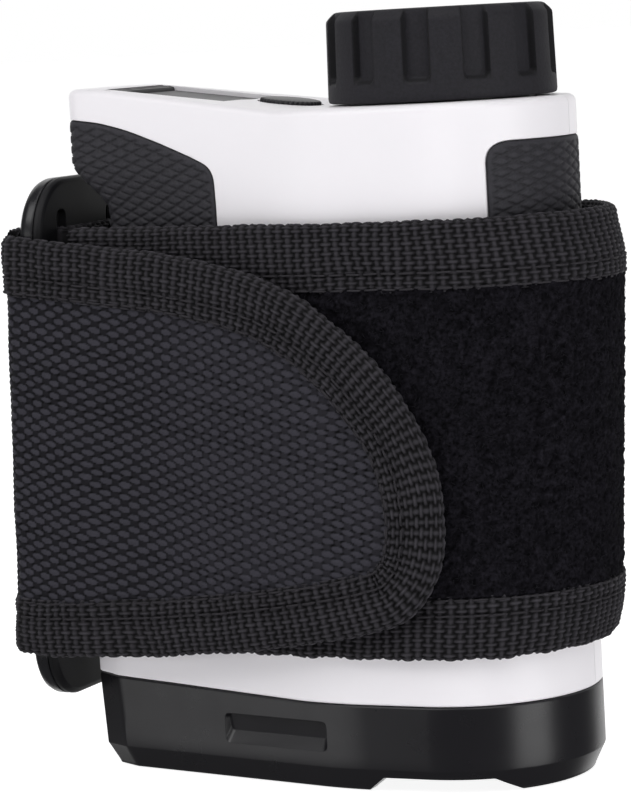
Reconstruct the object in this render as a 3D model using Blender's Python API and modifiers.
"""Laser rangefinder in a magnetic cart strap.

The instrument stands on the rim of its front bezel with the eyepiece up.
+Z runs from the front bezel to the eyepiece, +X is the button side, -X the
tail side, and -Y ("near") is the side on which the strap's flap closes.
Sizes are in millimetres; the helpers turn them into metres.
"""

import math

import bmesh
import bpy
from mathutils import Matrix, Vector

MILLIMETRE = 0.001

# ---- driving dimensions (mm) ------------------------------------------------
LENS_X = 18.3          # optical axis: eyepiece, prism and objective
BARREL_R = 18.0        # half thickness of the housing round the optical axis
KINK_X = 5.0           # where the flank starts to taper towards the tail
KINK_REACH = 3.5       # the kink is rounded over this much to either side
KINK_DROP = 0.9        # loss of half thickness at the tail end of that rounding
TAIL_X = -32.6         # start of the tail's rounded corner
TAIL_HALF = 9.6        # half thickness of the housing there
END_X = -35.5          # tail face
WALL = 2.4             # housing wall
SPLIT_Z = 12.0         # bezel to housing joint on the button side
SPLIT_RISE = 1.5       # how much that joint climbs towards the tail
REAR_Z = 92.5          # rear face round the eyepiece
REAR_RISE = 4.0        # how much the rear face climbs towards the tail
REAR_RUN = 30.0        # length over which it climbs
WAIST = 5.5            # depth of the waist in the tail side
HOLLOW_Z = 4.0         # where the tools that hollow the housing start
GRIP_T = 1.0           # rubber grip thickness
GAP = 0.3              # clearance between neighbouring pieces

EYE_R = 15.6           # dioptre ring
EYE_TOP = 105.1
FLUTES = 12
RECEIVER_X = -11.0
EMITTER_X = -26.5
CELL_X = -18.2         # battery, 15.6 mm x 27 mm
CELL_R = 7.8
LATCH_X = -4.5
DOOR_AXIS_X = -27.6
DOOR_END_X = -10.8
DOOR_HALF = 8.6
BUTTONS = (("measure", 64.0), ("mode", 46.0))  # label, height
BUTTON_HOLE_R = 5.4

PLATE_OUT = -40.5      # magnet plate, outer face
PLATE_IN = -36.7       # magnet plate, inner face
PLATE_SPLIT = -38.1    # inner side of the plate proper, where its cover starts
PLATE_Z = (10.0, 84.2)
PLATE_HALF = 13.8
SLOT_Y = 7.5
SLOT_HALF = 1.4
SLOT_Z = (17.2, 79.8)

BAND_Z = (18.8, 76.7)  # strap width
EDGE_W = 8.2           # visible width of the edge binding
BAND_EDGE_HALF = 1.1   # half thickness of the binding on the band
FLAP_EDGE_HALF = 1.2   # half thickness of the binding on the flap
RIM_CENTRE = (-39.3, 12.6)  # centre of the strap's turn round the plate's rim
RIM_R = 2.6
BAND_OFFSET = 1.4      # strap centre line, measured out from the housing
FLAP_OFFSET = 4.1
FLARE = (0.9, 4.0)     # stand-off over the buttons, at the lower and upper edge

SLANT = 0.034          # plate and strap rim lean out towards the front end, mm per mm
STAND = 0.8            # and stand off by this much at the plate's upper end

SIDES = (("near", -1), ("far", 1))  # label, sign of y


def stand_off(z):
    """How far the plate stands off towards -X at a height."""
    return STAND + SLANT * (PLATE_Z[1] - z)


# The frame's origin is on the foot plane, under the middle of the whole object.
LOWEST_X = RIM_CENTRE[0] - RIM_R - BAND_EDGE_HALF - stand_off(BAND_Z[0])
HIGHEST_X = LENS_X + BARREL_R + BAND_OFFSET + FLARE[1] + BAND_EDGE_HALF
ORIGIN_X = -(LOWEST_X + HIGHEST_X) / 2
ORIGIN_Y = (FLAP_OFFSET + FLAP_EDGE_HALF - BAND_OFFSET - BAND_EDGE_HALF) / 2

# ---- scene ------------------------------------------------------------------
for old in list(bpy.data.objects):
    bpy.data.objects.remove(old, do_unlink=True)

parts = bpy.data.collections.new("laser_rangefinder")
tools = bpy.data.collections.new("cutters")
bpy.context.scene.collection.children.link(parts)
bpy.context.scene.collection.children.link(tools)
tools.hide_render = True

root = bpy.data.objects.new("laser_rangefinder_origin", None)
root.location = (ORIGIN_X * MILLIMETRE, ORIGIN_Y * MILLIMETRE, 0.0)
parts.objects.link(root)

# ---- materials --------------------------------------------------------------
DISPLAY_GAMMA = 2.2    # turns the display colours below into linear ones


def material(name, rgb, roughness, metallic=0.0, transmission=0.0):
    mat = bpy.data.materials.new(name)
    mat.use_nodes = True
    shader = mat.node_tree.nodes["Principled BSDF"]
    shader.inputs["Base Color"].default_value = (*[c ** DISPLAY_GAMMA for c in rgb], 1)
    shader.inputs["Roughness"].default_value = roughness
    shader.inputs["Metallic"].default_value = metallic
    shader.inputs["Transmission Weight"].default_value = transmission
    return mat


WHITE = material("white_housing", (0.92, 0.91, 0.93), roughness=0.42)
BLACK = material("black_plastic", (0.19, 0.18, 0.21), roughness=0.4)
RUBBER = material("grip_rubber", (0.15, 0.15, 0.17), roughness=0.75)
STEEL = material("screw_steel", (0.7, 0.7, 0.71), roughness=0.35, metallic=1.0)
ALUMINIUM = material("black_anodised", (0.12, 0.12, 0.13), roughness=0.45, metallic=0.6)
GLASS = material("coated_glass", (0.75, 0.82, 0.85), roughness=0.05, transmission=0.9)
DISPLAY = material("display_glass", (0.2, 0.26, 0.3), roughness=0.1, transmission=0.4)
GOLD = material("gold_can", (0.78, 0.62, 0.3), roughness=0.3, metallic=1.0)
BOARD = material("circuit_board", (0.08, 0.27, 0.16), roughness=0.5)
CHIP = material("chip_black", (0.1, 0.1, 0.11), roughness=0.5)
POLYIMIDE = material("polyimide", (0.65, 0.36, 0.12), roughness=0.4)
CELL_WRAP = material("cell_wrap", (0.2, 0.21, 0.24), roughness=0.35)
TUNGSTEN = material("tungsten", (0.45, 0.44, 0.42), roughness=0.4, metallic=1.0)
NICKEL = material("nickel_plate", (0.66, 0.65, 0.62), roughness=0.25, metallic=1.0)
WEB = material("nylon_web", (0.13, 0.13, 0.15), roughness=0.85)
BINDING = material("nylon_binding", (0.15, 0.145, 0.16), roughness=0.8)
LOOP = material("loop_pile", (0.07, 0.07, 0.085), roughness=0.95)
HOOK = material("hook_tape", (0.1, 0.1, 0.11), roughness=0.7)


# ---- helpers ----------------------------------------------------------------
def place(name, mesh, mat=None, origin=(0, 0, 0), smooth=35, on_plate=False):
    """Links a mesh given in millimetres about the frame, with its origin at `origin`.

    With a material it is a part, without one a hidden boolean tool. `on_plate`
    slants it with the magnet plate; `smooth` is the sharp-edge angle in degrees.
    """
    if on_plate:
        lean_out = ((1, 0, SLANT, -stand_off(0)), (0, 1, 0, 0), (0, 0, 1, 0), (0, 0, 0, 1))
        mesh.transform(Matrix(lean_out))
    mesh.transform(Matrix.Scale(MILLIMETRE, 4) @ Matrix.Translation(-Vector(origin)))
    obj = bpy.data.objects.new(name, mesh)
    obj.location = Vector(origin) * MILLIMETRE
    obj.parent = root
    if mat is None:
        obj.hide_render = True
        obj.display_type = "WIRE"
        tools.objects.link(obj)
    else:
        mesh.materials.append(mat)
        mesh.shade_smooth()
        mesh.set_sharp_from_angle(angle=math.radians(smooth))
        parts.objects.link(obj)
    return obj


def mesh_of(shape, name, tidy=True):
    if tidy:
        bmesh.ops.recalc_face_normals(shape, faces=shape.faces[:])
    mesh = bpy.data.meshes.new(name)
    shape.to_mesh(mesh)
    shape.free()
    return mesh


def triangulated_mesh(shape, name):
    bmesh.ops.recalc_face_normals(shape, faces=shape.faces[:])
    bmesh.ops.triangulate(shape, faces=shape.faces[:])
    return mesh_of(shape, name)


def turn(axis):
    """Rotation that takes +Z onto the named or given axis."""
    named = {"x": (1, 0, 0), "y": (0, 1, 0), "z": (0, 0, 1)}
    target = Vector(named.get(axis, axis))
    return Vector((0, 0, 1)).rotation_difference(target).to_matrix().to_4x4()


def box(name, low, high, mat=None, bevel=0.0):
    shape = bmesh.new()
    bmesh.ops.create_cube(shape, size=1.0)
    size = [b - a for a, b in zip(low, high)]
    middle = [(a + b) / 2 for a, b in zip(low, high)]
    bmesh.ops.scale(shape, vec=size, verts=shape.verts)
    bmesh.ops.translate(shape, vec=middle, verts=shape.verts)
    if bevel:
        bmesh.ops.bevel(shape, geom=shape.edges[:], offset=bevel, segments=1,
                        affect="EDGES", profile=0.5)
    return place(name, mesh_of(shape, name), mat)


def rod(name, base, length, radius, steps, axis="z", mat=None, **options):
    shape = bmesh.new()
    bmesh.ops.create_cone(shape, cap_ends=True, segments=steps,
                          radius1=radius, radius2=radius, depth=length)
    bmesh.ops.translate(shape, vec=(0, 0, length / 2), verts=shape.verts)
    shape.transform(Matrix.Translation(base) @ turn(axis))
    return place(name, mesh_of(shape, name), mat, **options)


def turned(name, at, mat, profile, axis="z", steps=20):
    """A turned piece swept by a Screw.

    The profile is (radius, distance along the axis from `at`) points, down or
    up one side and back; one that starts on the axis is left open there.
    """
    closed = profile[0][0] > 0
    shape = bmesh.new()
    verts = [shape.verts.new((radius, 0, height)) for radius, height in profile]
    for a, b in zip(verts, verts[1:] + ([verts[0]] if closed else [])):
        shape.edges.new((a, b))
    mesh = mesh_of(shape, name, tidy=False)
    mesh.transform(Matrix.Scale(MILLIMETRE, 4))
    mesh.materials.append(mat)
    obj = bpy.data.objects.new(name, mesh)
    obj.parent = root
    obj.matrix_local = Matrix.Translation(Vector(at) * MILLIMETRE) @ turn(axis)
    screw = obj.modifiers.new("turn", "SCREW")
    screw.steps = screw.render_steps = steps
    screw.use_merge_vertices = True
    screw.merge_threshold = 0.00001
    screw.use_smooth_shade = True
    parts.objects.link(obj)
    return obj


def prism(name, outline, axis, low, high, mat=None, bevel=None, **options):
    """An outline carried from low to high along "x" (y, z points) or "y" (x, z points).

    `bevel` is (offset, segments) for the edges of the face at `low`.
    """
    index = "xyz".index(axis)
    shape = bmesh.new()
    verts = [shape.verts.new((*p[:index], low, *p[index:])) for p in outline]
    face = shape.faces.new(verts)
    travel = [0, 0, 0]
    travel[index] = high - low
    moved = bmesh.ops.extrude_face_region(shape, geom=[face])["geom"]
    bmesh.ops.translate(shape, vec=travel,
                        verts=[v for v in moved if isinstance(v, bmesh.types.BMVert)])
    bmesh.ops.recalc_face_normals(shape, faces=shape.faces[:])
    if bevel:
        offset, segments = bevel
        rim = [e for e in shape.edges if all(abs(v.co[index] - low) < 1e-6 for v in e.verts)]
        bmesh.ops.bevel(shape, geom=rim, offset=offset, segments=segments,
                        affect="EDGES", profile=0.5)
    bmesh.ops.triangulate(shape, faces=[f for f in shape.faces if len(f.verts) > 4])
    return place(name, mesh_of(shape, name), mat, **options)


def join_rows(shape, points):
    """Adds closed rows of points and the faces between neighbouring rows."""
    rows = [[shape.verts.new(p) for p in row] for row in points]
    count = len(rows[0])
    for low, high in zip(rows, rows[1:]):
        for i in range(count):
            j = (i + 1) % count
            shape.faces.new((low[i], low[j], high[j], high[i]))
    return rows


def bar_mesh(name, points, triangulated=True):
    """A bar through rows of four points, closed at both ends."""
    shape = bmesh.new()
    rows = join_rows(shape, points)
    shape.faces.new(rows[0])
    shape.faces.new(rows[-1])
    return triangulated_mesh(shape, name) if triangulated else mesh_of(shape, name)


def cut(obj, *cutters, how="DIFFERENCE"):
    for tool in cutters:
        mod = obj.modifiers.new(tool.name, "BOOLEAN")
        mod.operation = how
        mod.solver = "EXACT"
        mod.object = tool
    return obj


def shifted(points, distance):
    """A closed outline moved along its own normals, outwards for a positive distance."""
    area = sum(a[0] * b[1] - b[0] * a[1] for a, b in zip(points, points[1:] + points[:1]))
    sign = 1 if area > 0 else -1
    out = []
    for before, here, after in zip(points[-1:] + points[:-1], points, points[1:] + points[:1]):
        edge_in = (Vector(here) - Vector(before)).normalized()
        edge_out = (Vector(after) - Vector(here)).normalized()
        normal_in = Vector((edge_in.y, -edge_in.x)) * sign
        normal_out = Vector((edge_out.y, -edge_out.x)) * sign
        normal = (normal_in + normal_out).normalized()
        out.append(tuple(Vector(here) + normal * distance / max(0.3, normal.dot(normal_in))))
    return out


def arc_points(centre, radius, start, end, steps):
    """Points on an arc between two angles in degrees."""
    angles = [math.radians(start + (end - start) * k / steps) for k in range(steps + 1)]
    return [(centre[0] + radius * math.cos(a), centre[1] + radius * math.sin(a)) for a in angles]


# ---- the housing's surface --------------------------------------------------
QUARTER_STEPS = 8      # points on a quarter of the barrel
# Heights of the straight part's rings; the waist eases in and out between them.
LEVELS = [16.0, 18.0, 19.8, 21.2, 50.0, 78.8, 81.0, 83.0, 85.0, 87.0]
# Rings of the rear edge: (drop below the rear face, extra inset).
ROUND_EDGE = [(1.5, 0.0), (0.55, 0.3), (0.0, 1.2)]
SQUARE_EDGE = [(2.0, 0.0), (0.0, 0.0)]


def ease(t):
    t = max(0.0, min(1.0, t))
    return t * t * (3 - 2 * t)


def rear_z(x):
    return REAR_Z + REAR_RISE * max(0.0, min(REAR_RUN, -x)) / REAR_RUN


def split_z(x):
    return SPLIT_Z + SPLIT_RISE * max(0.0, min(-END_X, -x)) / -END_X


def level(z):
    """Height function of a flat ring."""
    return lambda x: z


def along_split(rise):
    """Height function of a ring parallel to the bezel joint."""
    return lambda x: split_z(x) + rise


def squeeze(z):
    """Share of the tail's length at height z: the waist that the strap and fingers sit in."""
    depth = ease((z - 15.8) / 5.2) * (1 - ease((z - 79.0) / 7.5))
    return 1 - WAIST / -END_X * depth


def section(inset=0.0, tail=1.0):
    """The housing's outline, from the tip on the button side round to the tail and back."""
    upper = arc_points((LENS_X, 0), BARREL_R, 0, 90, QUARTER_STEPS)[1:]
    upper += [
        (KINK_X + KINK_REACH, BARREL_R),
        (KINK_X, BARREL_R - 0.25),
        (KINK_X - KINK_REACH, BARREL_R - KINK_DROP),
    ]
    if inset > 2:  # a deep inset takes a plainer corner, so that it cannot fold over
        upper += [(TAIL_X - 0.4, TAIL_HALF), (END_X, TAIL_HALF - 3.2)]
    else:
        upper += [
            (TAIL_X, TAIL_HALF), (TAIL_X - 1.7, TAIL_HALF - 0.7),
            (END_X + 0.2, TAIL_HALF - 2.0), (END_X, TAIL_HALF - 3.6),
        ]
    outline = [(LENS_X + BARREL_R, 0.0)] + upper + [(x, -y) for x, y in reversed(upper)]
    if inset:
        outline = shifted(outline, -inset)
    return [(x * tail if x < 0 else x, y) for x, y in outline]


def ring(inset, height, tail=1.0):
    return [(x, y, height(x)) for x, y in section(inset, tail)]


def loft_mesh(name, rings):
    """Closes a stack of housing outlines. Each end is capped by strips across the thickness."""
    shape = bmesh.new()
    rows = join_rows(shape, rings)
    count = len(rows[0])
    for row in (rows[0], rows[-1]):
        shape.faces.new((row[0], row[1], row[count - 1]))
        for k in range(1, (count - 1) // 2):
            shape.faces.new((row[k], row[k + 1], row[count - k - 1], row[count - k]))
    return triangulated_mesh(shape, name)


def housing_mesh(name, inset, base, top_drop, edge):
    """The housing as one solid, from height function `base` up to the rear face."""
    rings = [ring(inset, base)]
    rings += [ring(inset, level(z), squeeze(z)) for z in LEVELS]
    rings += [ring(inset + more, lambda x: rear_z(x) - top_drop - drop) for drop, more in edge]
    return loft_mesh(name, rings)


def outer_mesh(name):
    return housing_mesh(name, 0.0, along_split(GAP / 2), 0.0, ROUND_EDGE)


def inner_tool(name, inset, top_drop):
    return place(name, housing_mesh(name, inset, level(HOLLOW_Z), top_drop, SQUARE_EDGE))


GRIP_TOP_DROP = 0.4
hollow = inner_tool("cut_hollow", WALL, WALL)
under_grip = inner_tool("cut_under_grip", GRIP_T, GRIP_TOP_DROP)
under_pocket = inner_tool("cut_under_pocket", GRIP_T + GAP, GRIP_TOP_DROP)

# ---- rubber grips -----------------------------------------------------------
# Outlines seen from the side, as (x, z); they overshoot the housing in x.
UNDERSIDE = [
    (-60, 92.2), (-60, 22.0), (-12.4, 22.0), (-10.2, 24.2), (-10.2, 83.4),
    (-11.0, 85.0), (-12.8, 86.2), (-18.9, 88.4), (-24.8, 90.5), (-34.5, 92.2),
]
TOPSIDE = [
    (60, 87.0), (32.2, 87.0), (30.3, 86.2), (29.5, 84.3),
    (29.5, 24.7), (30.3, 22.8), (32.2, 22.0), (60, 22.0),
]


def grip(name, outline):
    """The part of the housing's skin inside an outline."""
    body = place(name, outer_mesh(name), RUBBER)
    cut(body, prism("cut_" + name, outline, "y", -40, 40), how="INTERSECT")
    return cut(body, under_grip)


def pocket(name, outline):
    """Tool for the recess that a grip sits in."""
    tool = prism("cut_pocket_" + name, shifted(outline, GAP), "y", -39, 39)
    return cut(tool, under_pocket)


grip("underside_grip", UNDERSIDE)
topside_grip = grip("topside_grip", TOPSIDE)
pockets = [pocket("underside", UNDERSIDE), pocket("topside", TOPSIDE)]

button_holes = [
    rod("cut_button_%d" % k, (25, 0, z), 20, BUTTON_HOLE_R, steps=18, axis="x")
    for k, (label, z) in enumerate(BUTTONS)
]
cut(topside_grip, *button_holes)

# ---- openings in the rear face ----------------------------------------------
HINGE_DEPTH = 0.8      # hinge axis below the rear face
HINGE_PIN_HALF = 9.6   # half length of the hinge pin
door_axis = (DOOR_AXIS_X, 0, rear_z(DOOR_AXIS_X) - HINGE_DEPTH)


def rear_slab(end_x, low_depth, high_depth):
    """Outline (x, z) between two depths under the rear face, from the door's axis to end_x."""
    low = [(x, rear_z(x) - low_depth) for x in (DOOR_AXIS_X, end_x)]
    high = [(x, rear_z(x) - high_depth) for x in (end_x, DOOR_AXIS_X)]
    return low + high


def hinge_rod(name, half, radius, steps, mat=None):
    """A rod on the door's hinge axis, centred across the housing."""
    base = (door_axis[0], -half, door_axis[2])
    return rod(name, base, 2 * half, radius, steps, "y", mat)


eye_hole = rod("cut_eye_hole", (LENS_X, 0, 86), 12, 12.95, steps=28)
door_well = prism("cut_door_well", rear_slab(DOOR_END_X + GAP, 1.8, -4), "y",
                  -DOOR_HALF - GAP, DOOR_HALF + GAP)
hinge_groove = hinge_rod("cut_hinge_groove", DOOR_HALF + GAP, 1.6, steps=20)
pin_bore = hinge_rod("cut_pin_bore", HINGE_PIN_HALF + GAP, 0.75, steps=10)
cell_hole = rod("cut_cell_hole", (CELL_X, 0, 88), 10, CELL_R + 0.5, steps=24)

latch_axis = Vector((REAR_RISE / REAR_RUN, 0, 1)).normalized()  # square to the rear face
latch_at = Vector((LATCH_X, 0, rear_z(LATCH_X)))
latch_turn = turn(tuple(latch_axis))


def latch_rod(name, depth, length, radius, steps):
    """A rod on the latch's axis that starts at a depth below the rear face."""
    return rod(name, latch_at - latch_axis * depth, length, radius, steps, tuple(latch_axis))


latch_well = latch_rod("cut_latch_well", 0.9, 4, 4.65, steps=24)
latch_hole = latch_rod("cut_latch_hole", 6, 8, 2.3, steps=14)

# ---- housing halves ---------------------------------------------------------
# Screw posts that tie the halves together: label, x, z, depth of the screw head.
POSTS = [("lower", -22.5, 30.0, 8.0), ("upper", -14.0, 46.0, 9.9)]
NEAR_POST_R = 3.6
FAR_POST_R = 2.8
POST_BORE_R = 1.3
POST_HEAD_R = 2.5

# Each tool takes away what lies beyond the joint at y = 0.
beyond_near = box("cut_keep_near", (-60, -GAP / 2, 0), (60, 60, 120))
beyond_far = box("cut_keep_far", (-60, -60, 0), (60, GAP / 2, 120))

near_posts, far_posts, near_bores, far_bores = [], [], [], []
for label, x, z, head in POSTS:
    near_posts.append(rod("add_near_post_" + label, (x, -head - 0.6, z), head + 0.3,
                          NEAR_POST_R, steps=18, axis="y"))
    far_posts.append(rod("add_far_post_" + label, (x, 0.3, z), head - 0.2,
                         FAR_POST_R, steps=18, axis="y"))
    near_bores.append(rod("cut_near_bore_" + label, (x, -20, z), 25,
                          POST_BORE_R, steps=12, axis="y"))
    near_bores.append(rod("cut_near_head_" + label, (x, -25, z), 25 - head + 1.8,
                          POST_HEAD_R, steps=16, axis="y"))
    far_bores.append(rod("cut_far_bore_" + label, (x, -5, z), 5 + head - 1.6,
                         POST_BORE_R, steps=12, axis="y"))

openings = [*pockets, eye_hole, door_well, hinge_groove, pin_bore, cell_hole,
            latch_well, latch_hole, *button_holes]


def half_shell(name, beyond, posts, bores):
    shell = place(name, outer_mesh(name), WHITE)
    cut(shell, hollow)
    cut(shell, *posts, how="UNION")
    cut(shell, beyond, *openings, *bores)


half_shell("near_side_shell", beyond_near, near_posts, near_bores)
half_shell("far_side_shell", beyond_far, far_posts, far_bores)

for label, x, z, head in POSTS:
    shank = rod("cut_unused_" + label, (x, -head + 0.4, z), head * 2 - 3.0, 0.95,
                steps=12, axis="y")
    screw = rod("housing_screw_" + label, (x, -head - 0.1, z), 1.2, 2.1,
                steps=16, axis="y", mat=STEEL)
    cut(screw, shank, how="UNION")

# ---- front bezel ------------------------------------------------------------
# Rim openings for the lenses: label, x, radius, steps.
LENS_HOLES = [
    ("objective", LENS_X, 12.0, 28), ("receiver", RECEIVER_X, 7.6, 20),
    ("emitter", EMITTER_X, 3.6, 20),
]
# Notch across the foot, as (x, z).
NOTCH = [(8.9, -1), (29.9, -1), (29.7, 0), (26.9, 2.0), (11.6, 2.0), (9.0, 0)]
FLANK_SLOT_X = -5.6
FLANK_SLOT_Z = 7.85
SEAL_HALF_HEIGHT = 1.5


def stacked(name, rings, **options):
    """A solid through housing outlines given as (inset, height function)."""
    return place(name, loft_mesh(name, [ring(*entry) for entry in rings]), **options)


bezel = stacked(
    "front_bezel",
    [(1.9, level(0.0)), (1.35, level(0.5)), (0.0, level(3.3)), (0.0, along_split(-GAP / 2))],
    mat=BLACK, smooth=20)
cut(bezel,
    stacked("cut_bezel_room", [(WALL, level(4.2)), (WALL, level(20))]),
    stacked("cut_bezel_recess", [(4.4, level(-2)), (4.6, level(2.2))]))
for label, x, radius, steps in LENS_HOLES:
    cut(bezel, rod("cut_%s_hole" % label, (x, 0, 0), 6, radius, steps))
cut(bezel, prism("cut_notch", NOTCH, "y", -30, 30))

# One slot in each flank, turned to the flank's taper.
flank = math.atan2(BARREL_R - KINK_DROP - TAIL_HALF, KINK_X - KINK_REACH - TAIL_X)
flank_y = TAIL_HALF + (FLANK_SLOT_X - TAIL_X) * math.tan(flank)
for label, side in SIDES:
    tool = box("cut_slot_" + label, (-8.1, -1.3, -2.05), (8.1, 3.0, 2.05))
    tool.rotation_euler = (0, 0, flank if side > 0 else math.pi - flank)
    tool.location = Vector((FLANK_SLOT_X, side * flank_y, FLANK_SLOT_Z)) * MILLIMETRE
    cut(bezel, tool)

# Seal: a band inside the wall that bridges the bezel joint.
seal = stacked(
    "bezel_seal",
    [(2.7, along_split(rise)) for rise in (-SEAL_HALF_HEIGHT, SEAL_HALF_HEIGHT)], mat=RUBBER)
cut(seal, stacked("cut_seal_core", [(3.5, along_split(rise)) for rise in (-3, 3)]))

# ---- eyepiece ---------------------------------------------------------------
# Turned profiles here and below are (radius, height) unless noted.
lens_axis = (LENS_X, 0, 0)
O_RING_R = 13.6
O_RING_Z = 89.15
O_RING_SECTION_R = 0.5

turned("eyepiece_barrel", lens_axis, ALUMINIUM, [
    (12.5, 101.5), (12.5, 88.2), (14.6, 88.2), (14.6, 86.8),
    (12.5, 86.8), (12.5, 82.5), (10.9, 82.5), (10.9, 101.5)])

diopter_ring = turned("diopter_ring", lens_axis, RUBBER, [
    (12.6, EYE_TOP), (14.2, EYE_TOP), (EYE_R - 0.25, 103.9), (EYE_R, 93.0),
    (EYE_R - 0.2, 92.8), (12.9, 92.8), (12.9, 102.4), (9.8, 102.4),
    (9.6, 103.2), (10.6, 104.4)], steps=36)
for k in range(FLUTES):
    angle = math.radians(12 + 360 / FLUTES * k)
    flute = box("cut_flute_%02d" % k, (-1.0, -1.85, 95.4), (2.0, 1.85, 108))
    flute_at = (LENS_X + EYE_R * math.cos(angle), EYE_R * math.sin(angle), 0)
    flute.location = Vector(flute_at) * MILLIMETRE
    flute.rotation_euler = (0, 0, angle)
    cut(diopter_ring, flute)

turned("eyepiece_o_ring", lens_axis, RUBBER,
       arc_points((O_RING_R, O_RING_Z), O_RING_SECTION_R, 0, -300, 5))
turned("ocular_cell", lens_axis, ALUMINIUM, [
    (10.6, 99.8), (10.6, 86.0), (8.2, 86.0), (8.2, 86.7), (9.0, 86.7),
    (9.0, 91.0), (8.2, 91.0), (8.2, 94.0), (9.0, 94.0), (9.0, 99.8)])
turned("eye_lens", lens_axis, GLASS, [
    (0, 98.1), (4.5, 97.7), (8.7, 96.4), (8.7, 95.1), (4.5, 94.5), (0, 94.3)])
turned("ocular_field_lens", lens_axis, GLASS, [
    (0, 90.7), (4.5, 90.4), (8.7, 89.4), (8.7, 88.2), (4.5, 87.3), (0, 87.0)])
turned("ocular_retainer", lens_axis, ALUMINIUM, [
    (8.7, 99.6), (8.7, 98.4), (7.7, 98.4), (7.7, 99.6)])

# ---- objective, prisms and display ------------------------------------------
HOLDER_HALF = (9.3, 10.2)  # half sizes in x and y
HOLDER_WALL = 1.6
PRISM_HALF = 7.5
# Prism outlines as (x from the optical axis, z).
ROOF_PRISM = [(-7.2, 37.0), (7.2, 37.0), (7.2, 42.0), (0.0, 54.0), (-7.2, 47.0)]
PENTA_PRISM = [(-7.2, 73.0), (-7.2, 56.0), (7.2, 64.0), (7.2, 73.0)]


def lens_box(name, half_x, half_y, low_z, high_z, mat=None, bevel=0.0):
    """A box centred on the optical axis."""
    return box(name, (LENS_X - half_x, -half_y, low_z), (LENS_X + half_x, half_y, high_z),
               mat, bevel)


turned("objective_cell", lens_axis, ALUMINIUM, [
    (13.9, 24.0), (13.9, 4.6), (11.2, 4.6), (11.2, 5.4), (12.6, 5.4), (12.6, 24.0)])
turned("objective_lens", lens_axis, GLASS, [
    (0, 11.4), (6, 10.9), (12.3, 8.9), (12.3, 7.6), (6, 6.2), (0, 5.7)])
turned("objective_retainer", lens_axis, ALUMINIUM, [
    (12.3, 13.6), (12.3, 11.7), (11.3, 11.7), (11.3, 13.6)])

holder = lens_box("prism_holder", *HOLDER_HALF, 33, 78.5, BLACK, bevel=0.8)
holder_room = [half - HOLDER_WALL for half in HOLDER_HALF]
cut(holder, lens_box("cut_prism_room", *holder_room, 30, 80))
for name, outline in (("roof_prism", ROOF_PRISM), ("half_penta_prism", PENTA_PRISM)):
    prism(name, [(LENS_X + x, z) for x, z in outline], "y", -PRISM_HALF, PRISM_HALF, GLASS)
lens_box("display_module", 9.0, 9.0, 78.9, 80.9, DISPLAY, bevel=0.4)

# ---- laser receiver and transmitter -----------------------------------------
receiver_axis = (RECEIVER_X, 0, 0)
emitter_axis = (EMITTER_X, 0, 0)

turned("receiver_lens", receiver_axis, GLASS, [
    (0, 9.0), (4, 8.6), (8.0, 7.2), (8.0, 5.9), (4, 5.4), (0, 5.2)], steps=18)
turned("receiver_tube", receiver_axis, ALUMINIUM, [
    (4.6, 34.0), (9.6, 10.0), (9.6, 4.6), (8.3, 4.6), (8.3, 10.0), (3.6, 34.0)], steps=18)
turned("photodiode_detector", receiver_axis, STEEL, [
    (0, 38.6), (3.9, 38.6), (3.9, 35.2), (4.5, 35.2), (4.5, 34.4), (0, 34.4)])
turned("emitter_lens", emitter_axis, GLASS, [
    (0, 8.0), (2, 7.8), (3.8, 7.1), (3.8, 6.0), (0, 5.6)])
turned("emitter_tube", emitter_axis, ALUMINIUM, [
    (4.9, 14.0), (4.9, 4.6), (4.1, 4.6), (4.1, 14.0)])
turned("laser_diode", emitter_axis, GOLD, [
    (0, 17.3), (2.2, 17.3), (2.2, 15.1), (2.8, 15.1), (2.8, 14.3), (0, 14.3)], steps=16)

# ---- electronics ------------------------------------------------------------
# Name, low corner, high corner, material, bevel.
ELECTRONICS = [
    ("main_board", (0.6, -12.5, 36), (1.8, 12.5, 82), BOARD, 0.0),
    ("processor_chip", (-0.9, -5, 56), (0.3, 5, 66), CHIP, 0.2),
    ("high_voltage_module", (-6.0, -8, 40), (0.3, 8, 52), STEEL, 0.4),
    ("button_board", (28.3, -6, 38), (29.1, 6, 72), BOARD, 0.0),
]
for entry in ELECTRONICS:
    box(*entry)

# Flat cable round the inside of the barrel on the -Y side, below the boards.
CABLE_R = (14.75, 15.05)
CABLE_Z = (24.8, 31.5)
CABLE_ANGLES = (-150, -18)
CABLE_STEPS = 14
cable_inner, cable_outer = [
    arc_points((LENS_X, 0), radius, *CABLE_ANGLES, CABLE_STEPS) for radius in CABLE_R]
cable_rows = [
    [(*a, CABLE_Z[0]), (*b, CABLE_Z[0]), (*b, CABLE_Z[1]), (*a, CABLE_Z[1])]
    for a, b in zip(cable_inner, cable_outer)]
place("button_flex_cable", bar_mesh("button_flex_cable", cable_rows, triangulated=False),
      POLYIMIDE)

# Buttons and switches: (radius, distance out from the barrel's tip).
BUTTON_PROFILE = [
    (0, 1.0), (3.6, 0.85), (4.6, 0.35), (4.9, -0.4), (4.9, -3.8),
    (5.4, -3.9), (5.4, -4.7), (1.5, -4.7), (1.5, -5.3), (0, -5.3),
]
SWITCH_PROFILE = [(0, -6.2), (1.5, -6.3), (2.2, -6.7), (2.2, -6.9), (0, -6.9)]
for label, z in BUTTONS:
    tip = (LENS_X + BARREL_R, 0, z)
    turned(label + "_button", tip, RUBBER, BUTTON_PROFILE, axis="x", steps=14)
    turned(label + "_switch", tip, STEEL, SWITCH_PROFILE, axis="x", steps=10)

# ---- battery bay ------------------------------------------------------------
SPRING_TURNS = 2.25
SPRING_STEPS = 12      # points per turn
SPRING_R = (5.6, 3.0)  # at its foot and at its top
SPRING_Z = 62.55
SPRING_RISE = 1.5
SPRING_WIRE_R = 0.25

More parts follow.
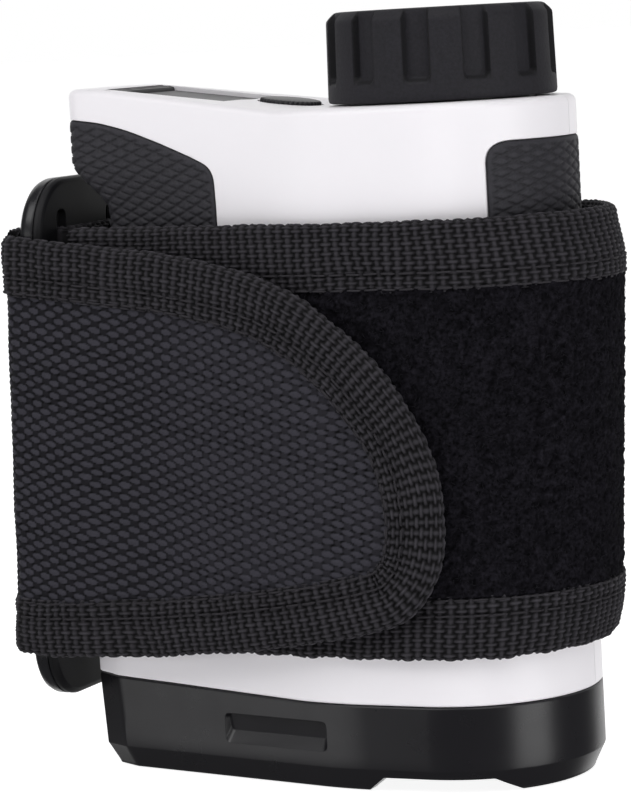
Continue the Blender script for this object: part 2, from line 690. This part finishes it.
cell_axis = (CELL_X, 0, 0)
turned("battery", cell_axis, CELL_WRAP, [
    (0, 91.6), (3.0, 91.6), (3.0, 90.8), (CELL_R - 0.6, 90.8), (CELL_R, 90.3),
    (CELL_R, 65.1), (CELL_R - 0.6, 64.6), (0, 64.6)], steps=18)
turned("battery_sleeve", cell_axis, BLACK, [
    (8.9, 90.2), (8.9, 60.8), (1.2, 60.8), (1.2, 62.0), (8.15, 62.0), (8.15, 90.2)], steps=18)


def battery_spring():
    """A conical coil under the battery."""
    coil = bpy.data.curves.new("battery_spring", "CURVE")
    coil.dimensions = "3D"
    line = coil.splines.new("POLY")
    count = int(SPRING_TURNS * SPRING_STEPS) + 1
    line.points.add(count - 1)
    for k in range(count):
        share = k / (count - 1)
        angle = 2 * math.pi * SPRING_TURNS * share
        radius = SPRING_R[0] + (SPRING_R[1] - SPRING_R[0]) * share
        point = Vector((CELL_X + radius * math.cos(angle), radius * math.sin(angle),
                        SPRING_Z + SPRING_RISE * share))
        line.points[k].co = (*(point * MILLIMETRE), 1)
    coil.bevel_depth = SPRING_WIRE_R * MILLIMETRE
    coil.bevel_resolution = 0
    coil.use_fill_caps = True
    coil.materials.append(STEEL)
    spring = bpy.data.objects.new("battery_spring", coil)
    spring.parent = root
    parts.objects.link(spring)


battery_spring()

door = prism("battery_door", rear_slab(DOOR_END_X, 1.4, 0.0), "y", -DOOR_HALF, DOOR_HALF,
             BLACK, origin=door_axis)
cut(door, hinge_rod("add_door_knuckle", DOOR_HALF, 1.1, steps=16), how="UNION")
cut(door, hinge_rod("cut_door_bore", 12, 0.72, steps=10))
hinge_rod("door_hinge_pin", HINGE_PIN_HALF, 0.42, steps=10, mat=STEEL)
rod("battery_contact", (CELL_X, 0, rear_z(CELL_X) - 2.55), 0.45, 4.2, steps=20,
    mat=STEEL, origin=door_axis)

# Latch dial: knurled by drawing in every other point of its rim.
DIAL_R = 4.3
DIAL_T = 1.5
DIAL_POINTS = 40
DIAL_KNURL = 0.945     # share of the radius kept at the drawn-in points


def latch_dial():
    shape = bmesh.new()
    bmesh.ops.create_cone(shape, cap_ends=True, segments=DIAL_POINTS,
                          radius1=DIAL_R, radius2=DIAL_R, depth=DIAL_T)
    for vert in shape.verts:
        angle = math.atan2(vert.co.y, vert.co.x) % (2 * math.pi)
        if round(angle / (2 * math.pi / DIAL_POINTS)) % 2:
            vert.co.x *= DIAL_KNURL
            vert.co.y *= DIAL_KNURL
    bmesh.ops.translate(shape, vec=(0, 0, 0.15), verts=shape.verts)
    shape.transform(Matrix.Translation(latch_at) @ latch_turn)
    dial = place("door_latch_dial", mesh_of(shape, "door_latch_dial"), BLACK, origin=latch_at)
    cut(dial, latch_rod("add_dial_shaft", 4.4, 4.2, 1.9, steps=16), how="UNION")
    tongue = box("add_dial_tongue", (-4.2, -1.2, -4.4), (0, 1.2, -3.3))
    tongue.matrix_local = Matrix.Translation(latch_at * MILLIMETRE) @ latch_turn
    cut(dial, tongue, how="UNION")


latch_dial()

# ---- vibration motor --------------------------------------------------------
MOTOR_X = -4.6
MOTOR_Z = 70
rod("vibration_motor", (MOTOR_X, -9, MOTOR_Z), 10, 2.8, steps=20, axis="y", mat=STEEL)
# Profile: (radius, y). The box takes off the upper part of the disc.
weight = turned("eccentric_weight", (MOTOR_X, 0, MOTOR_Z), TUNGSTEN,
                [(0, 5.2), (2.5, 5.2), (2.5, 1.7), (0, 1.7)], axis="y", steps=16)
cut(weight, box("cut_weight", (-9, -2, MOTOR_Z + 0.6), (0, 8, 76)))

# ---- magnet plate -----------------------------------------------------------
PLATE_CORNER_R = 8.0
MAGNET_X = -39.6
MAGNET_R = 4.8
MAGNETS = (("lower", 30.0), ("middle", 47.0), ("upper", 64.0))  # label, height
PLATE_SCREWS = (("lower", 21.5), ("upper", 73.6))               # label, height
SCREW_HEAD_R = 1.7
SHANK_X = -39.3
SHANK_R = 0.8


def rounded(half, low, high, radius, steps):
    """A rectangle (y, z) with rounded corners, centred on y = 0."""
    side = half - radius
    corners = ((side, high - radius, 0), (-side, high - radius, 90),
               (-side, low + radius, 180), (side, low + radius, 270))
    points = []
    for y, z, start in corners:
        points += arc_points((y, z), radius, start, start + 90, steps)
    return points


def plate_rod(name, x, z, length, radius, steps, mat=None):
    return rod(name, (x, 0, z), length, radius, steps, "x", mat, on_plate=True)


plate_outline = rounded(PLATE_HALF, *PLATE_Z, PLATE_CORNER_R, steps=5)
plate = prism("magnet_plate", plate_outline, "x", PLATE_OUT, PLATE_SPLIT, BLACK,
              bevel=(1.0, 2), smooth=30, on_plate=True)
cover = prism("magnet_plate_cover", plate_outline, "x", PLATE_IN, PLATE_SPLIT + GAP, BLACK,
              bevel=(0.5, 1), smooth=30, on_plate=True)

slot_outline = rounded(SLOT_HALF, *SLOT_Z, SLOT_HALF - 0.01, steps=3)
for label, side in SIDES:
    slot = [(side * SLOT_Y + y, z) for y, z in slot_outline]
    tool = prism("cut_plate_slot_" + label, slot, "x", -45, -32, on_plate=True)
    cut(plate, tool)
    cut(cover, tool)

for label, z in MAGNETS:
    plate_rod("magnet_" + label, MAGNET_X, z, 1.5, MAGNET_R, steps=16, mat=NICKEL)
    cut(plate, plate_rod("cut_magnet_" + label, MAGNET_X - GAP, z, 4, MAGNET_R + GAP, steps=16))

for label, z in PLATE_SCREWS:
    screw = plate_rod("plate_screw_" + label, -37.75, z, 0.7, SCREW_HEAD_R, steps=14, mat=STEEL)
    cut(screw, plate_rod("add_plate_shank_" + label, SHANK_X, z, 1.9, SHANK_R, steps=10),
        how="UNION")
    cut(plate,
        plate_rod("cut_plate_bore_" + label, SHANK_X - GAP, z, 4, SHANK_R + GAP, steps=12),
        plate_rod("cut_plate_head_" + label, -38.15, z, 4, SCREW_HEAD_R + GAP, steps=14))
    cut(cover, plate_rod("cut_cover_head_" + label, -39, z, 4, SCREW_HEAD_R + GAP, steps=14))

# ---- strap lines ------------------------------------------------------------
BEND_R = 40.0          # the strap's bend over the housing's kink, before its offset
BEND_CENTRE = (KINK_X + KINK_REACH, BEND_R - BARREL_R)
BAND_END_X = -32.0     # free end of the band, under the flap
SLOT_TURN_R = 1.4      # turns through the plate's slots
FLAP_ROOT_RUN = 3.5    # flap's root, measured along the strap from the rim turn


def lean(offset):
    """Angle between a layer's straight run to the plate and the X axis, tangent to both turns."""
    angle = 0.12
    reach = BEND_R + offset - RIM_R
    for _ in range(40):
        rise = reach * math.cos(angle) - BEND_CENTRE[1] - RIM_CENTRE[1]
        run = BEND_CENTRE[0] - RIM_CENTRE[0] - reach * math.sin(angle)
        angle = math.atan2(rise, run)
    return angle


FLAP_LEAN = lean(FLAP_OFFSET)
BAND_LEAN = lean(BAND_OFFSET)
flap_sin, flap_cos = math.sin(FLAP_LEAN), math.cos(FLAP_LEAN)
flap_root = (RIM_CENTRE[0] - RIM_R * flap_sin + FLAP_ROOT_RUN * flap_cos,
             -RIM_CENTRE[1] - RIM_R * flap_cos - FLAP_ROOT_RUN * flap_sin)


def flank_run(offset, angle):
    """The bend over the housing's kink on the -Y side, from the straight run to the barrel."""
    return arc_points(BEND_CENTRE, BEND_R + offset, -90 - math.degrees(angle), -90, 4)


def barrel_turn(offset, flare, end, steps):
    """The turn round the barrel from -90 degrees to `end`, flared over the buttons."""
    points = []
    for k in range(steps + 1):
        angle = math.radians(-90 + (end + 90) * k / steps)
        radius = BARREL_R + offset + flare * math.cos(angle) ** 2
        points.append((LENS_X + radius * math.cos(angle), radius * math.sin(angle)))
    return points


def band_line(flare):
    """Centre line of the fixed part: from its end under the flap, round the housing and plate."""
    near = flank_run(BAND_OFFSET, FLAP_LEAN)
    end_y = near[0][1] + (near[0][0] - BAND_END_X) * math.tan(FLAP_LEAN)
    points = [(BAND_END_X, end_y)] + near + barrel_turn(BAND_OFFSET, flare, 90, 18)
    points += [(x, -y) for x, y in reversed(flank_run(BAND_OFFSET, BAND_LEAN))]
    points += arc_points(RIM_CENTRE, RIM_R, 90 + math.degrees(BAND_LEAN), 180, 5)
    # In through the far slot and out through the near one: centre, start and end angle.
    outer_y, inner_y = SLOT_Y + SLOT_HALF, SLOT_Y - SLOT_HALF
    for centre, start, end in (
            ((PLATE_OUT, outer_y), 180, 270), ((PLATE_IN, inner_y), 90, 0),
            ((PLATE_IN, -inner_y), 0, -90), ((PLATE_OUT, -outer_y), 90, 180)):
        points += arc_points(centre, SLOT_TURN_R, start, end, 3)
    points += arc_points((RIM_CENTRE[0], -RIM_CENTRE[1]), RIM_R,
                         180, 270 - math.degrees(FLAP_LEAN), 5)
    last = points[-1]
    return points + [(last[0] + flap_cos, last[1] - flap_sin)]


def flap_line(flare):
    """Centre line of the flap, from its root to the barrel."""
    near = flank_run(FLAP_OFFSET, FLAP_LEAN)
    run = [tuple(a + (b - a) * k / 6 for a, b in zip(flap_root, near[0])) for k in range(6)]
    flat = [(13.4, -BARREL_R - FLAP_OFFSET)]
    return run + near + flat + barrel_turn(FLAP_OFFSET, flare, -50, 8)


def flare_at(z):
    return FLARE[0] + (FLARE[1] - FLARE[0]) * (z - BAND_Z[0]) / (BAND_Z[1] - BAND_Z[0])


def with_plate(x, y, z):
    """A strap point carried out with the plate: fully at the rim, not at all over the housing."""
    return (x - stand_off(z) * ease((-20.0 - x) / 14.0), y, z)


def outward(points):
    """Unit normals of an open line, to the right of travel."""
    normals = []
    for k in range(len(points)):
        before, after = points[max(k - 1, 0)], points[min(k + 1, len(points) - 1)]
        travel = (Vector(after) - Vector(before)).normalized()
        normals.append(Vector((travel.y, -travel.x)))
    return normals


# ---- strap band -------------------------------------------------------------
LOOP_STATIONS = 27     # the loop field covers this many points of the band's line
WEB_Z = (BAND_Z[0] + EDGE_W + GAP / 2, BAND_Z[1] - EDGE_W - GAP / 2)


def ribbon(name, low, high, inner, outer, mat, last=None):
    """A strip of band between two heights, `inner` to `outer` out from its centre line."""
    low_line, high_line = band_line(flare_at(low)), band_line(flare_at(high))
    low_side = (low_line, outward(low_line), low)
    high_side = (high_line, outward(high_line), high)
    rows = []
    for k in range(len(low_line))[:last]:
        row = []
        for (points, normals, z), depth in (
                (low_side, inner), (low_side, outer), (high_side, outer), (high_side, inner)):
            spot = Vector(points[k]) + normals[k] * depth
            row.append(with_plate(spot.x, spot.y, z))
        rows.append(row)
    place(name, bar_mesh(name, rows), mat)


ribbon("strap_band", *WEB_Z, -0.9, 0.3, WEB)
ribbon("band_lower_binding", BAND_Z[0], WEB_Z[0] - GAP, -BAND_EDGE_HALF, BAND_EDGE_HALF, BINDING)
ribbon("band_upper_binding", WEB_Z[1] + GAP, BAND_Z[1], -BAND_EDGE_HALF, BAND_EDGE_HALF, BINDING)
ribbon("loop_field", *WEB_Z, 0.6, 1.0, LOOP, last=LOOP_STATIONS)

# ---- strap flap -------------------------------------------------------------
# Flat pattern, bent onto the flap's line: (run along the strap, height).
FLAP_KNOTS = [
    (0, 76.1), (10, 75.0), (20, 73.9), (28, 72.5), (34.5, 70.9), (40, 68.7),
    (44.3, 66.1), (49, 62.3), (53.7, 57.2), (57.6, 51.4), (59.8, 46.0), (60.8, 40.6),
    (60.8, 35.6), (59.9, 30.8), (58.0, 27.3), (54.6, 24.3), (50.5, 22.9), (44, 21.6),
    (34, 20.0), (22, 18.6), (10, 17.6), (0, 17.1),
]
SHEET_STEPS = 18
FLAP_EDGE_POINTS = 44
flap_origin = with_plate(*flap_root, 0)


def run_lengths(points):
    runs = [0.0]
    for a, b in zip(points, points[1:]):
        runs.append(runs[-1] + math.dist(a, b))
    return runs


def locate(runs, run):
    """Index of the segment that holds a run, and the share of the segment before it."""
    k = max(0, min(len(runs) - 2, sum(1 for r in runs if r <= run) - 1))
    return k, (run - runs[k]) / (runs[k + 1] - runs[k])


def bend(run, z, depth):
    """Point on the flap at a run, a height and a depth out from its centre line."""
    points = flap_line(flare_at(z))
    normals = outward(points)
    k, share = locate(run_lengths(points), run)
    spot = Vector(points[k]).lerp(Vector(points[k + 1]), share)
    spot += normals[k].lerp(normals[k + 1], share).normalized() * depth
    return with_plate(spot.x, spot.y, z)


def inner_outline(distance):
    """The open flap outline drawn in by a distance, with its two ends kept at the root."""
    closed = shifted(FLAP_KNOTS, -distance)
    kept = [p for p in closed if p[0] > 0.5]
    return [(0.0, closed[0][1])] + kept + [(0.0, closed[-1][1])]


def resample(points, count):
    runs = run_lengths(points)
    out = []
    for i in range(count):
        k, share = locate(runs, runs[-1] * i / (count - 1))
        out.append(tuple(a + share * (b - a) for a, b in zip(points[k], points[k + 1])))
    return out


def crossing(outline, run, upper):
    """Height at which an outline crosses a run, on its upper or lower branch."""
    tip = max(range(len(outline)), key=lambda i: outline[i][0])
    branch = outline[: tip + 1] if upper else outline[tip:][::-1]
    for a, b in zip(branch, branch[1:]):
        if a[0] <= run <= b[0] and b[0] > a[0]:
            return a[1] + (b[1] - a[1]) * (run - a[0]) / (b[0] - a[0])
    return branch[-1][1]


def flap_sheet(name, margin, inner, outer, start, mat):
    """A sheet inside the flap's outline, drawn in by `margin`, with rows closer near the tip."""
    outline = inner_outline(margin)
    reach = max(p[0] for p in outline) - 0.05
    rows = []
    for i in range(SHEET_STEPS + 1):
        run = start + (reach - start) * (1 - (1 - i / SHEET_STEPS) ** 1.6)
        high, low = crossing(outline, run, True), crossing(outline, run, False)
        corners = ((low, inner), (low, outer), (high, outer), (high, inner))
        rows.append([bend(run, z, depth) for z, depth in corners])
    place(name, bar_mesh(name, rows), mat, origin=flap_origin)


def flap_binding():
    """The binding round the flap's free edge."""
    outside = resample(FLAP_KNOTS, FLAP_EDGE_POINTS)
    inside = resample(inner_outline(EDGE_W), FLAP_EDGE_POINTS)
    half = FLAP_EDGE_HALF
    rows = [[bend(*a, -half), bend(*a, half), bend(*b, half), bend(*b, -half)]
            for a, b in zip(outside, inside)]
    place("flap_binding", bar_mesh("flap_binding", rows), BINDING, origin=flap_origin)


flap_sheet("strap_flap", EDGE_W + GAP, -0.6, 0.7, 0.0, WEB)
flap_sheet("hook_pad", EDGE_W + 2.0, -1.3, -0.9, 6.0, HOOK)
flap_binding()
